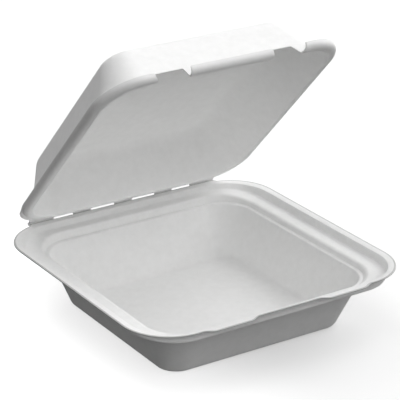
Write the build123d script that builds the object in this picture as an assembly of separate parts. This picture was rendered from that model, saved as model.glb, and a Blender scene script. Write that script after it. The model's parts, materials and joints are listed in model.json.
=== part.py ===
# Hinged clamshell takeout container, moulded from white plant fibre.
# Millimetres, +Z up, +X along the hinge, +Y to the back.
# The origin is the centre of the tray's underside, and the lid stands half open.
import os
from math import hypot, radians, tan

from build123d import *

# Sheet that both halves are moulded from
sheet = 1.0
clearance = 0.3
overrun = 3.0

# Tray: outline of the outer lip, and how much the corners tighten towards the floor
rim_width = 228.0
rim_depth = 225.4
rim_corner = 38.0
rim_height = 50.5
corner_shrink_share = 0.6

# Tray rim, from the outer lip inwards: lip, channel for the lid's bead, step and ledge
# The lip and the channel are wider along the sides, by their gains
lip_width = 3.4
lip_gain = 2.2
lip_fillet = 0.8
channel_drop = 6.5
channel_run = 1.0
channel_width = 10.4
side_gain = 5.0
step_drop = 4.0
step_run = 1.8
ledge_width = 2.8
channel_fillet = 2.0
shoulder_fillet = 1.8
ledge_fillet = 0.9
brow_fillet = 1.5

# Tray wall and floor
wall_draft = 25.8
floor_fillet = 5.0

# Closing tabs on the tray's front lip
tab_spacing = 98.0
tab_root_width = 45.0
tab_tip_width = 31.0
tab_reach = 4.0
tab_fillet = 3.0

# Hinge along the back: flange past the rim, and slots through the fold
hinge_length = 170.0
hinge_flange = 2.6
flange_fillet = 1.0
fold_gap = 0.5
slot_opening = 2.2
inner_slot_start = 7.8
inner_slot_length = 21.7
outer_slot_start = 45.1
outer_slot_length = 17.8
open_angle = 46.2

# Lid: outline of the skirt, bead below the fold, dome above it
lid_width = 204.4
lid_front_inset = 4.4
lid_back_inset = 5.9
lid_corner = 32.0
bead_depth = 3.6
skirt_height = 5.7
skirt_fillet = 4.2
bead_width = 6.8
bead_fillet = 1.6
dome_height = 37.9
dome_draft = 27.1
dome_back_draft = 16.0
dome_fillet = 12.0
gutter_fillet = 0.6

# Notches in the lid's front rim, over the tray's tabs
notch_width = 27.0
notch_height = 9.2
notch_depth = 15.0

# Places worked out from the sizes above
rim_top = rim_height
channel_floor = rim_top - channel_drop
ledge_floor = channel_floor - step_drop
channel_inset = lip_width + channel_run
step_inset = channel_inset + channel_width
ledge_inset = step_inset + step_run
wall_inset = ledge_inset + ledge_width
hinge_y = rim_depth / 2 + hinge_flange
hinge_z = rim_top + clearance / 2
notch_spacing = tab_spacing
lid_front = hinge_y + rim_depth / 2 - lid_front_inset
lid_back = hinge_flange + lid_back_inset
lid_depth = lid_front - lid_back
lid_middle = -(lid_front + lid_back) / 2
bead_bottom = -bead_depth
skirt_top = bead_bottom + skirt_height
dome_top = dome_height


def outline(width, depth, corner, inset, z, middle=0):
    """Rounded rectangle, drawn in from its outermost size by inset, at height z."""
    radius = corner - corner_shrink_share * inset
    shape = RectangleRounded(width - 2 * inset, depth - 2 * inset, radius)
    return Pos(0, middle, z) * shape


def tray_outline(inset, z):
    return outline(rim_width, rim_depth, rim_corner, inset, z)


def channel_outline(inset, z):
    """Tray outline at the channel's outer wall, drawn in along the sides by the lip's gain."""
    return outline(rim_width - 2 * lip_gain, rim_depth, rim_corner, inset, z)


def step_outline(inset, z):
    """Tray outline inside the channel, drawn in along the sides by the channel's gain."""
    return outline(rim_width - 2 * side_gain, rim_depth, rim_corner, inset, z)


def wall_gain(z):
    """What is left of the gain at height z: the side walls stand steeper, to end even at the floor."""
    return side_gain * (z - sheet) / (ledge_floor - sheet)


def wall_outline(inset, z):
    return outline(rim_width - 2 * wall_gain(z), rim_depth, rim_corner, inset, z)


def lid_outline(inset, z):
    return outline(lid_width, lid_depth, lid_corner, inset, z, lid_middle)


def dome_outline(inset, z):
    """Lid outline that reaches further back with height, so the dome's back wall is the steeper one."""
    gain = (tan(radians(dome_draft)) - tan(radians(dome_back_draft))) * (z - bead_bottom)
    return outline(lid_width, lid_depth + gain, lid_corner, inset, z, lid_middle + gain / 2)


def sloped_block(draw, inset, z, slope, low, high, shift=0):
    """Solid between two heights whose sides pass through inset at z and lean by slope."""
    sections = [draw(inset + slope * (z - level) - shift, level).face() for level in (low, high)]
    return loft(sections, ruled=True)


def loop(solid, z, half_width):
    """Edges of the level loop of a solid at height z that reaches out to half_width."""
    level = [e for e in solid.edges() if abs(e.bounding_box().min.Z - z) < clearance / 10
             and abs(e.bounding_box().max.Z - z) < clearance / 10]
    chains = Wire.combine(level)
    return min(chains, key=lambda w: abs(w.bounding_box().max.X - half_width)).edges()


def rounded(solid, radius, z, half_width):
    return solid.fillet(radius, loop(solid, z, half_width))


def tray_form(shift, drop):
    """Stepped tray shape: the hollow as it is, or the outside, one sheet out and down."""
    channel_slope = channel_run / channel_drop
    step_slope = step_run / step_drop
    wall_slope = tan(radians(wall_draft))
    channel_out = shift * hypot(1, channel_slope)
    step_out = shift * hypot(1, step_slope)
    wall_out = shift * hypot(1, wall_slope)
    floor = sheet - drop
    shelf = channel_floor - drop
    ledge = ledge_floor - drop
    form = sloped_block(channel_outline, lip_width, rim_top, channel_slope, shelf, rim_top, channel_out)
    form += sloped_block(step_outline, step_inset, channel_floor, step_slope, ledge, shelf, step_out)
    form += sloped_block(wall_outline, wall_inset, ledge_floor, wall_slope, floor, ledge, wall_out)
    half = rim_width / 2
    form = rounded(form, floor_fillet + shift, floor,
                   half - wall_gain(floor) - wall_inset - wall_slope * (ledge_floor - floor) + wall_out)
    form = rounded(form, ledge_fillet + shift, ledge,
                   half - side_gain - step_inset - step_slope * (channel_floor - ledge) + step_out)
    form = rounded(form, channel_fillet + shift, shelf,
                   half - lip_gain - lip_width - channel_slope * (rim_top - shelf) + channel_out)
    form = rounded(form, shoulder_fillet - shift, shelf,
                   half - side_gain - step_inset - step_slope * (channel_floor - shelf) + step_out)
    form = rounded(form, brow_fillet - shift, ledge,
                   half - wall_gain(ledge) - wall_inset - wall_slope * (ledge_floor - ledge) + wall_out)
    return form


def tab(side):
    """Closing tab: a trapezium with rounded corners in front of the lip."""
    front = -rim_depth / 2
    root = tab_root_width / 2
    tip = tab_tip_width / 2
    points = [(-root, front), (-tip, front - tab_reach), (tip, front - tab_reach), (root, front)]
    inner = [(root, front + lip_width), (-root, front + lip_width)]
    face = make_face(Polyline(*points, *inner, close=True))
    tips = face.vertices().sort_by(Axis.Y)[:2]
    face = fillet(tips, tab_fillet)
    return Pos(side * tab_spacing / 2, 0, 0) * face


def slots():
    """Cutters for the four slots through the fold, two on each side of the middle."""
    cutters = []
    for side in (-1, 1):
        for start, length in ((inner_slot_start, inner_slot_length), (outer_slot_start, outer_slot_length)):
            middle = side * (start + length / 2)
            cutter = SlotOverall(length, slot_opening)
            cutters.append(Pos(middle, 0, -overrun) * extrude(cutter, 2 * overrun))
    return cutters


def base_tray():
    half_fold = fold_gap / 2
    flange_depth = hinge_flange + lip_width - half_fold
    flange = Rectangle(hinge_length, flange_depth, align=(Align.CENTER, Align.MAX))
    plan = tray_outline(0, 0) + Pos(0, hinge_y - half_fold, 0) * flange
    for side in (-1, 1):
        plan += tab(side)
    ends = [v for v in plan.vertices() if abs(abs(v.X) - hinge_length / 2) < clearance]
    plan = fillet(ends, flange_fillet)
    lip = Pos(0, 0, rim_top - sheet) * extrude(plan, sheet)
    tray = tray_form(sheet, sheet) + lip
    tray -= tray_form(0, 0)
    tray = rounded(tray, lip_fillet, rim_top, rim_width / 2 - lip_gain - lip_width)
    for cutter in slots():
        tray -= Pos(0, hinge_y, rim_top) * cutter
    return tray


def lid_at_rest():
    """The lid, modelled closed about its fold and turned up to its open angle."""
    slope = tan(radians(dome_draft))
    out = sheet * hypot(1, slope)
    half = lid_width / 2
    skirt = sloped_block(lid_outline, 0, bead_bottom, 0, bead_bottom, skirt_top)
    skirt = rounded(skirt, skirt_fillet, bead_bottom, half)
    gutter = sloped_block(lid_outline, sheet, bead_bottom, 0, bead_bottom + sheet, skirt_top + overrun)
    gutter = rounded(gutter, skirt_fillet - sheet, bead_bottom + sheet, half - sheet)
    dome = sloped_block(dome_outline, bead_width, bead_bottom, -slope, bead_bottom, dome_top, out)
    top_inset = bead_width + slope * (dome_top - bead_bottom) - out
    dome = rounded(dome, dome_fillet + sheet, dome_top, half - top_inset)
    ceiling = dome_top - sheet
    hollow = sloped_block(dome_outline, bead_width, bead_bottom, -slope, bead_bottom - overrun, ceiling)
    hollow_inset = bead_width + slope * (ceiling - bead_bottom)
    hollow = rounded(hollow, dome_fillet, ceiling, half - hollow_inset)
    shell = (skirt - gutter) + dome - hollow
    shell = rounded(shell, bead_fillet, bead_bottom, half - bead_width)
    gutter_inset = bead_width + slope * sheet - out
    shell = rounded(shell, gutter_fillet, bead_bottom + sheet, half - gutter_inset)
    shell += hinge_plate()
    for side in (-1, 1):
        notch = Box(notch_width, notch_depth, notch_height + overrun,
                    align=(Align.CENTER, Align.MIN, Align.MAX))
        shell -= Pos(side * notch_spacing / 2, -lid_front - sheet, bead_bottom + notch_height) * notch
    for cutter in slots():
        shell -= cutter
    return Pos(0, hinge_y, hinge_z) * Rot(-open_angle, 0, 0) * shell


def hinge_plate():
    """Flat flange that joins the lid's skirt to the fold, merging into the back corners."""
    low = clearance / 2
    half_fold = fold_gap / 2
    reach = lid_back + lid_corner
    plate_depth = lid_front - hinge_flange
    middle = -(lid_front + hinge_flange) / 2
    plate = outline(lid_width, plate_depth, lid_corner, 0, low, middle)
    plate = extrude(plate, sheet)
    keep = Box(lid_width, reach, sheet, align=(Align.CENTER, Align.MAX, Align.MIN))
    plate &= Pos(0, 0, low) * keep
    fold = Box(hinge_length, lid_back - half_fold, sheet, align=(Align.CENTER, Align.MAX, Align.MIN))
    plate += Pos(0, -half_fold, low) * fold
    inside = sloped_block(lid_outline, sheet / 2, low, 0, low - overrun, low + sheet + overrun)
    return plate - inside


os.makedirs("parts", exist_ok=True)
export_step(base_tray(), "parts/base_tray.step")
export_step(lid_at_rest(), "parts/lid.step")
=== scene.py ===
"""Looks of the clamshell takeout container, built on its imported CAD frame.

Lengths are in metres, in the frame's axes."""
import json
from math import cos, hypot, pi, radians, sin, tan

import bpy
import numpy as np
from mathutils import Matrix, Vector, noise


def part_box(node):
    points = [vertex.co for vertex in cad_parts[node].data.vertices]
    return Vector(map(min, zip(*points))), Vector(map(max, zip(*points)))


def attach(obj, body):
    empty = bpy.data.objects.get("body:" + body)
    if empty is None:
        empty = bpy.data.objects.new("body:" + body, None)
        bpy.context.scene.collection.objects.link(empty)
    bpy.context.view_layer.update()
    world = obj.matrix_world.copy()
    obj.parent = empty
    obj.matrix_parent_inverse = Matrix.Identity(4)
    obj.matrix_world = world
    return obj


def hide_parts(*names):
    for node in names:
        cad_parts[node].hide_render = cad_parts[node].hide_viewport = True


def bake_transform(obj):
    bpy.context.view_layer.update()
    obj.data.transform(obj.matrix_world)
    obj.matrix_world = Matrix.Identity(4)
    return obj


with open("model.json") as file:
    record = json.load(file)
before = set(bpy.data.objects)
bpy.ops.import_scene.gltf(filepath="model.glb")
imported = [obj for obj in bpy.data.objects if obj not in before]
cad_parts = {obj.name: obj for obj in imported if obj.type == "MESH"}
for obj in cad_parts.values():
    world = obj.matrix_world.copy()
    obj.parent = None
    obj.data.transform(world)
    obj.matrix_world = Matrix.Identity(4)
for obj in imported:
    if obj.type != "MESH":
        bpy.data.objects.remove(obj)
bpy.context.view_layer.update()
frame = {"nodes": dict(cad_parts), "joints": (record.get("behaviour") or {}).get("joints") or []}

MM = 0.001

# Camera, fitted to the photograph's rim, fold and floor edges
CAMERA_AZIMUTH = radians(32.917)
CAMERA_ELEVATION = radians(22.603)
CAMERA_DISTANCE = 1.4207
CAMERA_TARGET = Vector((-0.00145, 0.00085, 0.09197))
CAMERA_LENS_MM = 173.2
CAMERA_SENSOR_MM = 36.0
CAMERA_CLIP = (0.01, 20)

# Studio lights: azimuth, elevation, strength and spread, with 0 in front and 90 on the right
LIGHTS = {
    "back_light": (-170, 50, 0.85, 30),
    "left_light": (-60, 50, 0.85, 70),
    "right_light": (105, 28, 1.55, 70),
    "top_light": (75, 50, 1.3, 70),
    "front_light": (12, 8, 1.0, 70),
}
SKY_STRENGTH = 0.01

# Studio floor, with the strength of its glow at two places across it
STAGE_DROP = 0.2 * MM
FLOOR_REACH = 6.0
FLOOR_TONE = 0.6
FLOOR_SHADER = {
    "Base Color": (FLOOR_TONE, FLOOR_TONE, FLOOR_TONE, 1),
    "Roughness": 0.9,
    "Specular IOR Level": 0.0,
    "Emission Color": (1, 1, 1, 1),
}
FLOOR_GLOW = (0.82, 0.42)
FLOOR_GLOW_X = (-0.13, 0.02)

# Places that the frame gives
hinge = frame["joints"][0]
HINGE_Y, HINGE_Z = hinge["pos_m"][1:]
OPEN_ANGLE = radians(-hinge["range_deg"][0])
tray_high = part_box("base_tray")[1]
RIM_TOP = tray_high.z
RIM_HALF_WIDTH = tray_high.x

# Sheet and tray outline, as in the part's source
SHEET = 1.0 * MM
HALF_SHEET = SHEET / 2
SHRINK_SHARE = 0.6
RIM_HALF_DEPTH = 112.7 * MM
RIM_CORNER = 38.0 * MM
LIP_WIDTH = 3.4 * MM
LIP_GAIN = 2.2 * MM
SIDE_GAIN = 5.0 * MM
STEP_RUN = 1.8 * MM
LEDGE_WIDTH = 2.8 * MM
WALL_DRAFT = radians(25.8)

# Rim channel as the photograph shows it along the back, shallower than in the part's source
LIP_FLARE = 0.7 * MM
CHANNEL_DROP = 4.5 * MM
CHANNEL_RUN = 3.0 * MM
CHANNEL_WIDTH = 8.4 * MM
STEP_DROP = 6.0 * MM

# What brings the channel to the source's sizes along the front and sides, and the front past them
CHANNEL_DEEPER = 2.0 * MM
CHANNEL_STEEPER = 2.0 * MM
FRONT_DEEPER = 1.2 * MM
FRONT_TURN = (radians(25), radians(75))
BACK_TURN = (radians(100), radians(150))

# Places along the tray's section
CHANNEL_INSET = LIP_WIDTH + CHANNEL_RUN
STEP_INSET = CHANNEL_INSET + CHANNEL_WIDTH
LEDGE_INSET = STEP_INSET + STEP_RUN
WALL_INSET = LEDGE_INSET + LEDGE_WIDTH
CHANNEL_FLOOR = RIM_TOP - CHANNEL_DROP
LEDGE_FLOOR = CHANNEL_FLOOR - STEP_DROP

# Roundings of the tray's section, and the flat run of floor that it ends with
LIP_ROUND = 1.4 * MM
CHANNEL_ROUND = 2.4 * MM
SHOULDER_ROUND = 2.2 * MM
LEDGE_ROUND = 1.0 * MM
BROW_ROUND = 1.7 * MM
FLOOR_ROUND = 5.0 * MM
FLOOR_FLAT = 12.0 * MM

# Tabs on the tray's front lip
TAB_SPACING = 98.0 * MM
TAB_ROOT = 45.0 * MM
TAB_TIP = 31.0 * MM
TAB_REACH = 4.0 * MM
TAB_EASE = 1.0 * MM

# Fold along the back
HINGE_LENGTH = 170.0 * MM
HINGE_EASE = 0.8 * MM
FOLD_GAP = 0.5 * MM
HINGE_CLEARANCE = 0.3 * MM
SLOT_OPENING = 2.2 * MM
SLOTS = ((7.8 * MM, 29.5 * MM), (45.1 * MM, 62.9 * MM))
SLOT_ENDS = [end for slot in SLOTS for end in slot]

# Lid, in its own closed frame about the fold
LID_HALF_WIDTH = 102.2 * MM
LID_FRONT = 223.6 * MM
LID_BACK = 8.5 * MM
LID_CORNER = 32.0 * MM
PLATE_START = 2.6 * MM
BEAD_DEPTH = 3.6 * MM
SKIRT_HEIGHT = 5.7 * MM
BEAD_WIDTH = 6.8 * MM
DOME_HEIGHT = 37.9 * MM
DOME_DRAFT = radians(27.1)
DOME_BACK_DRAFT = radians(16.0)
NOTCH_WIDTH = 27.0 * MM
NOTCH_HEIGHT = 9.2 * MM
NOTCH_ROUND = 1.4 * MM

# Roundings of the lid's section, and the flat run of top that it ends with
SKIRT_ROUND = 3.6 * MM
BEAD_ROUND = 1.2 * MM
DOME_ROUND = 12.5 * MM
TOP_FLAT = 14.0 * MM

# Mesh steps
ARC_STEP = radians(9)
RUN_STEP = 4.0 * MM
EDGE_STEP = 2.0 * MM
FINE_STEP = 0.3 * MM
FINE_REACH = 1.8 * MM
CORNER_STEPS = 40
SIDE_STEPS = 40
CENTRE_ROWS = 12
CAP_STEPS = 6
FLANGE_ROWS = 3
FOLD_POINTS = 25
SHARP_ANGLE = radians(48)
STRAIGHT_FRONT = -0.99

# Trimmed edge: its form, the dark grey of painted shade along it, and how strongly each half shows
# that painted shade
EDGE_BAND = 0.5 * MM
EDGE_BLUNTNESS = 0.5
# Painted shade: a dark grey drawn along the trimmed edge, standing in for the shading of the rolled
# edge
EDGE_SHADE_ATTRIBUTE = "painted_edge_shade"
PAINTED_SHADE_TONE = (0.55, 0.55, 0.545, 1)
TRAY_SHADE_SHOW = 1.0
LID_SHADE_SHOW = 0.3

# How far the moulding strays from the drawing
WARP = 0.25 * MM
WARP_PER_M = 14.0
WARP_FADE = 30 * MM
FLOOR_CROWN = 0.7 * MM

# Moulded fibre: shader, mottle with the tones at two of its levels, and fibres in the surface
PULP_SHADER = {
    "Roughness": 0.82,
    "Specular IOR Level": 0.25,
    "Subsurface Weight": 0.5,
    "Subsurface Radius": (1, 1, 1),
    "Subsurface Scale": 1.0 * MM,
}
MOTTLE = {"Scale": 160, "Detail": 6, "Roughness": 0.65}
MOTTLE_TONES = ((0.3, (0.895, 0.895, 0.89, 1)), (0.7, (0.945, 0.945, 0.94, 1)))
FIBRE = {"Scale": 900, "Detail": 4, "Distortion": 2.5}
FIBRE_BUMP = {"Strength": 0.25, "Distance": 0.15 * MM}

# Colour sockets of a mix node, which share their names with other sockets
MIX_FIRST, MIX_SECOND, MIX_RESULT = 6, 7, 2


def rounded_path(corners):
    """Polyline through (inset, height, radius) corners, rounded, with long runs divided."""
    points = [np.array(c[:2], float) for c in corners]
    path = [points[0]]
    for before, here, after, corner in zip(points, points[1:], points[2:], corners[1:]):
        into = (here - before) / np.linalg.norm(here - before)
        out = (after - here) / np.linalg.norm(after - here)
        turn = np.arctan2(into[0] * out[1] - into[1] * out[0], into @ out)
        radius = corner[2]
        start = here - into * radius * tan(abs(turn) / 2)
        side = np.sign(turn) * np.array([-into[1], into[0]])
        count = max(2, int(np.ceil(abs(turn) / ARC_STEP)))
        for angle in np.linspace(0, abs(turn), count + 1):
            path.append(start + into * radius * sin(angle) + side * radius * (1 - cos(angle)))
    path.append(points[-1])
    return divided(np.array(path))


def divided(path):
    """The same polyline with every run cut into pieces no longer than RUN_STEP."""
    made = [path[0]]
    for a, b in zip(path, path[1:]):
        count = max(1, int(np.ceil(np.linalg.norm(b - a) / RUN_STEP)))
        made.extend(a + (b - a) * k / count for k in range(1, count + 1))
    return np.array(made)


def path_lengths(path):
    """Distance along a polyline to each of its points."""
    return np.concatenate([[0], np.cumsum(np.linalg.norm(np.diff(path, axis=0), axis=1))])


def directions(path):
    """Unit direction of a polyline at each of its points."""
    along = np.gradient(path, axis=0)
    return along / np.linalg.norm(along, axis=1)[:, None]


def left_normals(path):
    """Unit normal on a polyline's left, at each of its points."""
    along = directions(path)
    return np.stack([-along[:, 1], along[:, 0]], 1)


def smooth_step(low, high, value):
    """0 up to low, 1 from high, and eased between them."""
    t = np.clip((value - low) / (high - low), 0, 1)
    return t * t * (3 - 2 * t)


def edge_samples(half, marks):
    """Places from -half to half, close together near the marks on both sides of the middle."""
    places = list(np.linspace(-half, half, int(np.ceil(2 * half / EDGE_STEP)) + 1))
    for mark in marks:
        near = np.arange(-FINE_REACH, FINE_REACH + FINE_STEP / 2, FINE_STEP)
        places.extend(mark + near)
        places.extend(-mark + near)
    places = np.unique(np.round(np.clip(places, -half, half), 6))
    keep = np.concatenate([[True], np.diff(places) > FINE_STEP / 3])
    return places[keep]


def ring_columns(front, back, straight):
    """Columns round a rounded rectangle: (share of x, share of y, outward x, outward y) each."""
    turns = np.linspace(0, pi / 2, CORNER_STEPS + 1)[1:-1]
    runs = np.linspace(-1, 1, SIDE_STEPS + 1)
    made = [(x / straight, -1, 0, -1) for x in front]
    made += [(1, -1, sin(a), -cos(a)) for a in turns]
    made += [(1, t, 1, 0) for t in runs]
    made += [(1, 1, cos(a), sin(a)) for a in turns]
    made += [(x / straight, 1, 0, 1) for x in back[::-1]]
    made += [(-1, 1, -sin(a), cos(a)) for a in turns]
    made += [(-1, t, -1, 0) for t in runs[::-1]]
    made += [(-1, -1, -cos(a), -sin(a)) for a in turns]
    return np.array(made, float)


def ring_places(columns, half_x, half_y, corner, inset, sides_in=0):
    """Plan positions of each column at the given insets, with corners that tighten inwards."""
    radius = corner - SHRINK_SHARE * inset
    x = columns[:, 0] * (half_x - sides_in - inset - radius) + radius * columns[:, 2]
    y = columns[:, 1] * (half_y - inset - radius) + radius * columns[:, 3]
    return x, y


def sheet_section(path, starts):
    """Rows of (inset, height) round a sheet's cut section.

    They run along the right face to the free edge, then back along the left face.
    starts is how far along the path each column's free edge lies."""
    lengths = path_lengths(path)
    along, normals = directions(path), left_normals(path)

    def at(values, places):
        return np.stack([np.interp(places, lengths, values[:, k]) for k in (0, 1)], -1)

    edge = starts + HALF_SHEET
    places = np.maximum(lengths[:, None], edge[None, :] + EDGE_BAND)
    middle, normal = at(path, places), at(normals, places)
    right, left = middle - HALF_SHEET * normal, middle + HALF_SHEET * normal
    tip, tip_normal, tip_along = at(path, edge), at(normals, edge), at(along, edge)
    cap = []
    for angle in np.linspace(0, pi, CAP_STEPS + 1):
        across = np.sign(cos(angle)) * abs(cos(angle)) ** EDGE_BLUNTNESS
        out = abs(sin(angle)) ** EDGE_BLUNTNESS
        cap.append(tip - HALF_SHEET * (across * tip_normal + out * tip_along))
    return np.concatenate([right[::-1], np.array(cap), left])


def grid_mesh(name, rows, shade_show):
    """Closed mesh from rows of rings, whose first and last ring each draw in to one point.

    The last argument is how strongly its trimmed edge, the rings half way, shows the painted edge
    shade."""
    count = rows.shape[1]
    inner = rows.reshape(-1, 3)
    first, last = len(inner), len(inner) + 1
    points = np.concatenate([inner, [rows[0].mean(0), rows[-1].mean(0)]])
    here = np.arange(count)
    after = (here + 1) % count
    faces = [(first, b, a) for a, b in zip(here, after)]
    for r in range(len(rows) - 1):
        low, high = r * count, (r + 1) * count
        faces += [(low + a, low + b, high + b, high + a) for a, b in zip(here, after)]
    end = (len(rows) - 1) * count
    faces += [(end + a, end + b, last) for a, b in zip(here, after)]
    made = solid_object(name, points, faces)
    cut = np.zeros(len(points))
    cap = (len(rows) - CAP_STEPS - 1) // 2
    # Marks the trimmed edge rings, where the painted edge shade goes
    cut[cap * count:(cap + CAP_STEPS + 1) * count] = shade_show
    made.data.attributes.new(EDGE_SHADE_ATTRIBUTE, "FLOAT", "POINT").data.foreach_set("value", cut)
    return made


def solid_object(name, points, faces):
    """Object in the scene from points and faces, smooth but for its sharp edges."""
    mesh = bpy.data.meshes.new(name)
    mesh.from_pydata([tuple(p) for p in points], [], faces)
    mesh.validate()
    mesh.shade_smooth()
    mesh.set_sharp_from_angle(angle=SHARP_ANGLE)
    made = bpy.data.objects.new(name, mesh)
    bpy.context.scene.collection.objects.link(made)
    return made


def with_centre(rows, middle):
    """Adds rings at both ends that close the floor or top to its middle, with a slight crown."""
    shares = np.linspace(1, 0, CENTRE_ROWS + 1)[1:-1]
    ends = []
    for ring in (rows[0], rows[-1]):
        rings = []
        for share in shares:
            drawn = ring.copy()
            drawn[:, :2] = middle + (ring[:, :2] - middle) * share
            drawn[:, 2] += FLOOR_CROWN * (1 - share * share)
            rings.append(drawn)
        ends.append(np.array(rings))
    return np.concatenate([ends[0][::-1], rows, ends[1]])


def on_front(columns):
    """Which columns lie on the straight front."""
    return columns[:, 3] < STRAIGHT_FRONT


def on_hinge(x):
    """1 along the length of the hinge, 0 past its ends."""
    end = HINGE_LENGTH / 2
    return 1 - smooth_step(end - HINGE_EASE, end + HINGE_EASE, np.abs(x))


def tray_profile():
    """Middle line of the tray's sheet, as (inset, height) from the lip to the floor."""
    floor_inset = WALL_INSET + tan(WALL_DRAFT) * (LEDGE_FLOOR - SHEET)
    top = rounded_path([(0, RIM_TOP, 0),
                        (LIP_WIDTH, RIM_TOP - LIP_FLARE, LIP_ROUND),
                        (CHANNEL_INSET, CHANNEL_FLOOR, CHANNEL_ROUND),
                        (STEP_INSET, CHANNEL_FLOOR, SHOULDER_ROUND),
                        (LEDGE_INSET, LEDGE_FLOOR, LEDGE_ROUND),
                        (WALL_INSET, LEDGE_FLOOR, BROW_ROUND),
                        (floor_inset, SHEET, FLOOR_ROUND),
                        (floor_inset + FLOOR_FLAT, SHEET, 0)])
    return top - left_normals(top) * HALF_SHEET


def lip_gain(inset):
    """How much further in the channel's outer wall lies along the sides, with the wider lip."""
    across = smooth_step(CHANNEL_INSET, STEP_INSET, inset)
    return LIP_GAIN * np.clip(inset / LIP_WIDTH, 0, 1) * (1 - across)


def side_gain(inset, height):
    """How much further in the sides lie inside the channel, running out down the wall."""
    across = smooth_step(CHANNEL_INSET, STEP_INSET, inset)
    return SIDE_GAIN * across * np.clip((height - SHEET) / (LEDGE_FLOOR - SHEET), 0, 1)


def slot_cut(x):
    """How far the slots through the fold reach in from the fold line, at places along it."""
    cut = np.zeros_like(x)
    radius = SLOT_OPENING / 2
    for low, high in SLOTS:
        past = np.maximum(np.maximum(low + radius - np.abs(x), np.abs(x) - (high - radius)), 0)
        cut = np.where(past < radius, np.sqrt(np.maximum(radius ** 2 - past ** 2, 0)), cut)
    return cut


def flange_edge(x):
    """Distance of the flange's free edge from the fold line."""
    return np.maximum(FOLD_GAP / 2, slot_cut(x))


def tab_reach(x):
    """How far the closing tabs stand out from the front lip, at places along it."""
    away = np.abs(np.abs(x) - TAB_SPACING / 2)
    return TAB_REACH * (1 - smooth_step(TAB_TIP / 2 - TAB_EASE, TAB_ROOT / 2 + TAB_EASE, away))


def deepened(columns, inset, height):
    """The tray's section with a deeper, steeper channel everywhere but along the back."""
    turned = np.arctan2(np.abs(columns[:, 2]), -columns[:, 3])
    share = 1 - smooth_step(*BACK_TURN, turned)
    into = np.clip((inset - LIP_WIDTH) / CHANNEL_RUN, 0, 1)
    deeper = CHANNEL_DEEPER + FRONT_DEEPER * (1 - smooth_step(*FRONT_TURN, turned))
    lower = deeper * into * (1 - smooth_step(STEP_INSET, LEDGE_INSET, inset))
    outer = CHANNEL_STEEPER * into * (1 - smooth_step(CHANNEL_INSET, STEP_INSET, inset))
    return inset - share * outer, height - share * lower


def build_tray():
    """Tray with its stepped rim, tabs and half of the slotted flange."""
    straight = RIM_HALF_WIDTH - RIM_CORNER
    tab_ends = [TAB_SPACING / 2 - TAB_ROOT / 2, TAB_SPACING / 2 + TAB_ROOT / 2]
    front = edge_samples(straight, tab_ends)
    back = edge_samples(straight, SLOT_ENDS)
    columns = ring_columns(front, back, straight)
    outline = (columns, RIM_HALF_WIDTH, RIM_HALF_DEPTH, RIM_CORNER)
    section = sheet_section(tray_profile(), np.zeros(len(columns)))
    inset, height = deepened(columns, section[..., 0], section[..., 1])
    x, y = ring_places(*outline, inset, lip_gain(inset) + side_gain(inset, height))
    edge_x, edge_y = ring_places(*outline, np.zeros(len(columns)))
    lip = np.clip(1 - (inset - HALF_SHEET) / (LIP_WIDTH - HALF_SHEET), 0, 1)
    y -= lip * np.where(on_front(columns), tab_reach(edge_x), 0)
    reach = HINGE_Y - flange_edge(edge_x) - edge_y
    y += lip * np.where(columns[:, 3] > 0, on_hinge(edge_x) * reach, 0)
    rows = np.stack([x, y, height], -1)
    away = np.minimum(1, (HINGE_Y - y) / WARP_FADE) * np.clip(height / RIM_TOP, 0, 1) ** 2
    lift = [noise.noise(Vector((px, py, 0)) * WARP_PER_M) for px, py in zip(x.ravel(), y.ravel())]
    rows[..., 2] += WARP * away * np.array(lift).reshape(x.shape)
    tray = grid_mesh("tray_shell", with_centre(rows, np.zeros(2)), TRAY_SHADE_SHOW)
    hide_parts("base_tray")
    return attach(tray, "tray")


def lid_profile():
    """Middle line of the lid's sheet, as (inset, height) from the skirt over the bead to the top."""
    slope = tan(DOME_DRAFT)
    bottom = HALF_SHEET - BEAD_DEPTH
    top = DOME_HEIGHT - HALF_SHEET
    wall = BEAD_WIDTH - HALF_SHEET * hypot(1, slope)
    foot_inset = wall + slope * HALF_SHEET
    top_inset = wall + slope * (top + BEAD_DEPTH)
    return rounded_path([(HALF_SHEET, SKIRT_HEIGHT - BEAD_DEPTH, 0),
                         (HALF_SHEET, bottom, SKIRT_ROUND),
                         (foot_inset, bottom, BEAD_ROUND),
                         (top_inset, top, DOME_ROUND),
                         (top_inset + TOP_FLAT, top, 0)])


def lid_notch(x):
    """1 inside the notches of the lid's front rim, 0 outside."""
    away = np.abs(np.abs(x) - TAB_SPACING / 2)
    return 1 - smooth_step(NOTCH_WIDTH / 2 - NOTCH_ROUND, NOTCH_WIDTH / 2 + NOTCH_ROUND, away)


def notch_length(path):
    """How far along the lid's profile its wall reaches the top of the notches."""
    on_wall = path[:, 0] > BEAD_WIDTH - SHEET
    return np.interp(NOTCH_HEIGHT - BEAD_DEPTH, path[on_wall, 1], path_lengths(path)[on_wall])


def opened(rows):
    """Turns points of the closed lid up to the lid's place at rest."""
    place = Matrix.Translation((0, HINGE_Y, HINGE_Z)) @ Matrix.Rotation(-OPEN_ANGLE, 4, "X")
    turn = np.array(place)
    return rows @ turn[:3, :3].T + turn[:3, 3]


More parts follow.
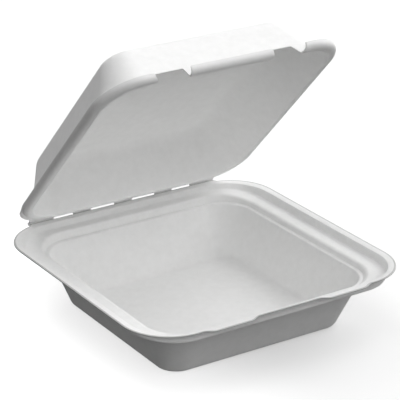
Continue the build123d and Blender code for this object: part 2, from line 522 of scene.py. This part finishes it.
def build_lid():
    """Lid with its bead, notches and dome, whose back wall is the steeper one."""
    straight = LID_HALF_WIDTH - LID_CORNER
    notch_ends = [TAB_SPACING / 2 - NOTCH_WIDTH / 2, TAB_SPACING / 2 + NOTCH_WIDTH / 2]
    front, back = edge_samples(straight, notch_ends), edge_samples(straight, [])
    columns = ring_columns(front, back, straight)
    outline = (columns, LID_HALF_WIDTH, (LID_FRONT - LID_BACK) / 2, LID_CORNER)
    middle = np.array([0, -(LID_FRONT + LID_BACK) / 2])
    path = lid_profile()
    edge_x = ring_places(*outline, np.zeros(len(columns)))[0]
    starts = np.where(on_front(columns), lid_notch(edge_x), 0) * notch_length(path)
    section = sheet_section(path, starts)
    inset, height = section[..., 0], section[..., 1]
    x, y = ring_places(*outline, inset)
    on_dome = smooth_step(BEAD_WIDTH - SHEET, BEAD_WIDTH + SHEET, inset)
    gain = (tan(DOME_DRAFT) - tan(DOME_BACK_DRAFT)) * (height + BEAD_DEPTH) * on_dome
    y = y + middle[1] + gain * (1 + columns[:, 1]) / 2
    rows = with_centre(np.stack([x, y, height], -1), middle)
    lid = grid_mesh("lid_shell", opened(rows), LID_SHADE_SHOW)
    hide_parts("lid")
    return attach(lid, "lid")


def corner_drop(x):
    """How far the lid's rounded back corners fall away from its straight back edge."""
    past = np.clip(np.abs(x) - (LID_HALF_WIDTH - LID_CORNER), 0, LID_CORNER)
    return LID_CORNER - np.sqrt(LID_CORNER ** 2 - past ** 2)


def build_lid_flange():
    """Flat flange between the lid's skirt and the fold."""
    x = edge_samples(LID_HALF_WIDTH, SLOT_ENDS + [HINGE_LENGTH / 2])
    drop = corner_drop(x)
    outer = PLATE_START + drop
    outer = outer + on_hinge(x) * (flange_edge(x) - outer)
    inner = LID_BACK + drop + HALF_SHEET
    centre = outer + HALF_SHEET
    low = HINGE_CLEARANCE / 2
    shares = np.linspace(0, 1, FLANGE_ROWS + 1)[:-1]
    rows = [(inner + (centre - inner) * share, low) for share in shares]
    for angle in np.linspace(0, pi, CAP_STEPS + 1):
        rows.append((centre - HALF_SHEET * sin(angle), low + HALF_SHEET - HALF_SHEET * cos(angle)))
    rows += [(inner + (centre - inner) * share, low + SHEET) for share in shares[::-1]]
    points = np.array([np.stack([x, -run, np.full_like(x, height)], -1) for run, height in rows])
    count = len(x)
    faces = []
    for r in range(len(rows)):
        here, after = r * count, (r + 1) % len(rows) * count
        faces += [(here + k, here + k + 1, after + k + 1, after + k) for k in range(count - 1)]
    loop = [r * count for r in range(len(rows))]
    faces += [tuple(loop), tuple(k + count - 1 for k in reversed(loop))]
    flange = solid_object("lid_flange", opened(points.reshape(-1, 3)), faces)
    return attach(flange, "lid")


def build_fold():
    """Webs of sheet between the slots, bent round the fold line."""
    ends = SLOT_ENDS + [HINGE_LENGTH / 2]
    ends = sorted(ends + [-end for end in ends])
    inner = HINGE_CLEARANCE / 2
    outer = inner + SHEET
    angles = np.linspace(-pi / 2, pi / 2 - OPEN_ANGLE, FOLD_POINTS)
    # (run past the bend, lean of that run, angle round the fold line) along a web
    bend = [(-FOLD_GAP, 0.0, angles[0])]
    bend += [(0.0, 0.0, angle) for angle in angles]
    bend += [(-FOLD_GAP, OPEN_ANGLE, angles[-1])]
    count = len(bend)
    last = count - 1
    points, faces = [], []
    for low, high in zip(ends[::2], ends[1::2]):
        first = len(points)
        for x in (low, high):
            for radius in (inner, outer):
                for run, lean, angle in bend:
                    y = radius * cos(angle) + run * cos(lean)
                    z = radius * sin(angle) - run * sin(lean)
                    points.append((x, HINGE_Y + y, HINGE_Z + z))
        a, b, c, d = (first + k * count for k in range(4))
        for k in range(last):
            faces += [(a + k, a + k + 1, c + k + 1, c + k), (b + k, d + k, d + k + 1, b + k + 1),
                      (a + k, b + k, b + k + 1, a + k + 1), (c + k, c + k + 1, d + k + 1, d + k)]
        faces += [(a, c, d, b), (a + last, b + last, d + last, c + last)]
    fold = solid_object("fold_webs", points, faces)
    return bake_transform(fold)


def set_values(node, values):
    """Sets the named inputs of a shader node."""
    for name, value in values.items():
        node.inputs[name].default_value = value


def link(tree, source, output, target, socket):
    """Joins one node's output to another's input, by name or number."""
    tree.links.new(source.outputs[output], target.inputs[socket])


def shader_tree(material, values):
    """Node tree of a new material, and its shader with the given values."""
    material.use_nodes = True
    tree = material.node_tree
    shader = tree.nodes["Principled BSDF"]
    set_values(shader, values)
    return tree, shader


def pulp_material():
    """White moulded fibre: matt, faintly mottled, with short fibres and painted shade darkening the
    trimmed edge.
    """
    material = bpy.data.materials.new("moulded_fibre")
    tree, shader = shader_tree(material, PULP_SHADER)
    place = tree.nodes.new("ShaderNodeTexCoord")

    mottle = tree.nodes.new("ShaderNodeTexNoise")
    set_values(mottle, MOTTLE)
    link(tree, place, "Object", mottle, "Vector")
    tone = tree.nodes.new("ShaderNodeValToRGB")
    for stop, (position, color) in zip(tone.color_ramp.elements, MOTTLE_TONES):
        stop.position, stop.color = position, color
    link(tree, mottle, "Fac", tone, "Fac")

    # Painted shade: mixes the dark grey into the base colour along the trimmed edge
    cut = tree.nodes.new("ShaderNodeAttribute")
    cut.attribute_name = EDGE_SHADE_ATTRIBUTE
    edge = tree.nodes.new("ShaderNodeMix")
    edge.data_type = "RGBA"
    edge.inputs[MIX_SECOND].default_value = PAINTED_SHADE_TONE
    link(tree, cut, "Fac", edge, "Factor")
    link(tree, tone, "Color", edge, MIX_FIRST)
    link(tree, edge, MIX_RESULT, shader, "Base Color")

    fibre = tree.nodes.new("ShaderNodeTexNoise")
    set_values(fibre, FIBRE)
    link(tree, place, "Object", fibre, "Vector")
    bump = tree.nodes.new("ShaderNodeBump")
    set_values(bump, FIBRE_BUMP)
    link(tree, fibre, "Fac", bump, "Height")
    link(tree, bump, "Normal", shader, "Normal")
    return material


def floor_material():
    """Pale floor that glows, more on the left, so the shadows stay soft and fall to the right."""
    material = bpy.data.materials.new("studio_floor")
    tree, shader = shader_tree(material, FLOOR_SHADER)
    place = tree.nodes.new("ShaderNodeTexCoord")
    axes = tree.nodes.new("ShaderNodeSeparateXYZ")
    link(tree, place, "Object", axes, "Vector")
    glow = tree.nodes.new("ShaderNodeMapRange")
    glow.interpolation_type = "SMOOTHSTEP"
    set_values(glow, {"From Min": FLOOR_GLOW_X[0], "From Max": FLOOR_GLOW_X[1],
                      "To Min": FLOOR_GLOW[0], "To Max": FLOOR_GLOW[1]})
    link(tree, axes, "X", glow, "Value")
    link(tree, glow, "Result", shader, "Emission Strength")
    return material


def add_camera():
    """Camera at the photograph's viewing angle."""
    data = bpy.data.cameras.new("camera")
    data.lens = CAMERA_LENS_MM
    data.sensor_width = CAMERA_SENSOR_MM
    data.clip_start, data.clip_end = CAMERA_CLIP
    back = Vector((-sin(CAMERA_AZIMUTH) * cos(CAMERA_ELEVATION),
                   -cos(CAMERA_AZIMUTH) * cos(CAMERA_ELEVATION), sin(CAMERA_ELEVATION)))
    camera = bpy.data.objects.new("camera", data)
    camera.location = CAMERA_TARGET + back * CAMERA_DISTANCE
    camera.rotation_mode = "QUATERNION"
    camera.rotation_quaternion = (-back).to_track_quat("-Z", "Y")
    bpy.context.scene.collection.objects.link(camera)
    bpy.context.scene.camera = camera


def add_sun(name, azimuth, elevation, strength, spread):
    """Soft light from far away, spread being how wide it looks, with all angles in degrees."""
    turn, rise = radians(azimuth), radians(elevation)
    towards = Vector((sin(turn) * cos(rise), -cos(turn) * cos(rise), sin(rise)))
    data = bpy.data.lights.new(name, "SUN")
    data.energy = strength
    data.angle = radians(spread)
    light = bpy.data.objects.new(name, data)
    light.rotation_mode = "QUATERNION"
    light.rotation_quaternion = towards.to_track_quat("Z", "Y")
    bpy.context.scene.collection.objects.link(light)


def add_stage():
    """Floor, sky and lights of the studio."""
    signs = ((-1, -1), (1, -1), (1, 1), (-1, 1))
    corners = [(x * FLOOR_REACH, y * FLOOR_REACH, -STAGE_DROP) for x, y in signs]
    mesh = bpy.data.meshes.new("floor")
    mesh.from_pydata(corners, [], [(0, 1, 2, 3)])
    mesh.materials.append(floor_material())
    floor = bpy.data.objects.new("floor", mesh)
    floor.visible_diffuse = False
    bpy.context.scene.collection.objects.link(floor)

    world = bpy.data.worlds.new("studio")
    world.use_nodes = True
    set_values(world.node_tree.nodes["Background"],
               {"Color": (1, 1, 1, 1), "Strength": SKY_STRENGTH})
    bpy.context.scene.world = world
    bpy.context.scene.view_settings.view_transform = "Standard"
    for name, settings in LIGHTS.items():
        add_sun(name, *settings)


add_camera()
add_stage()
pulp = pulp_material()
for piece in (build_tray(), build_lid(), build_lid_flange(), build_fold()):
    piece.data.materials.append(pulp)
for node in frame["nodes"].values():
    node.data.materials.clear()
    node.data.materials.append(pulp)
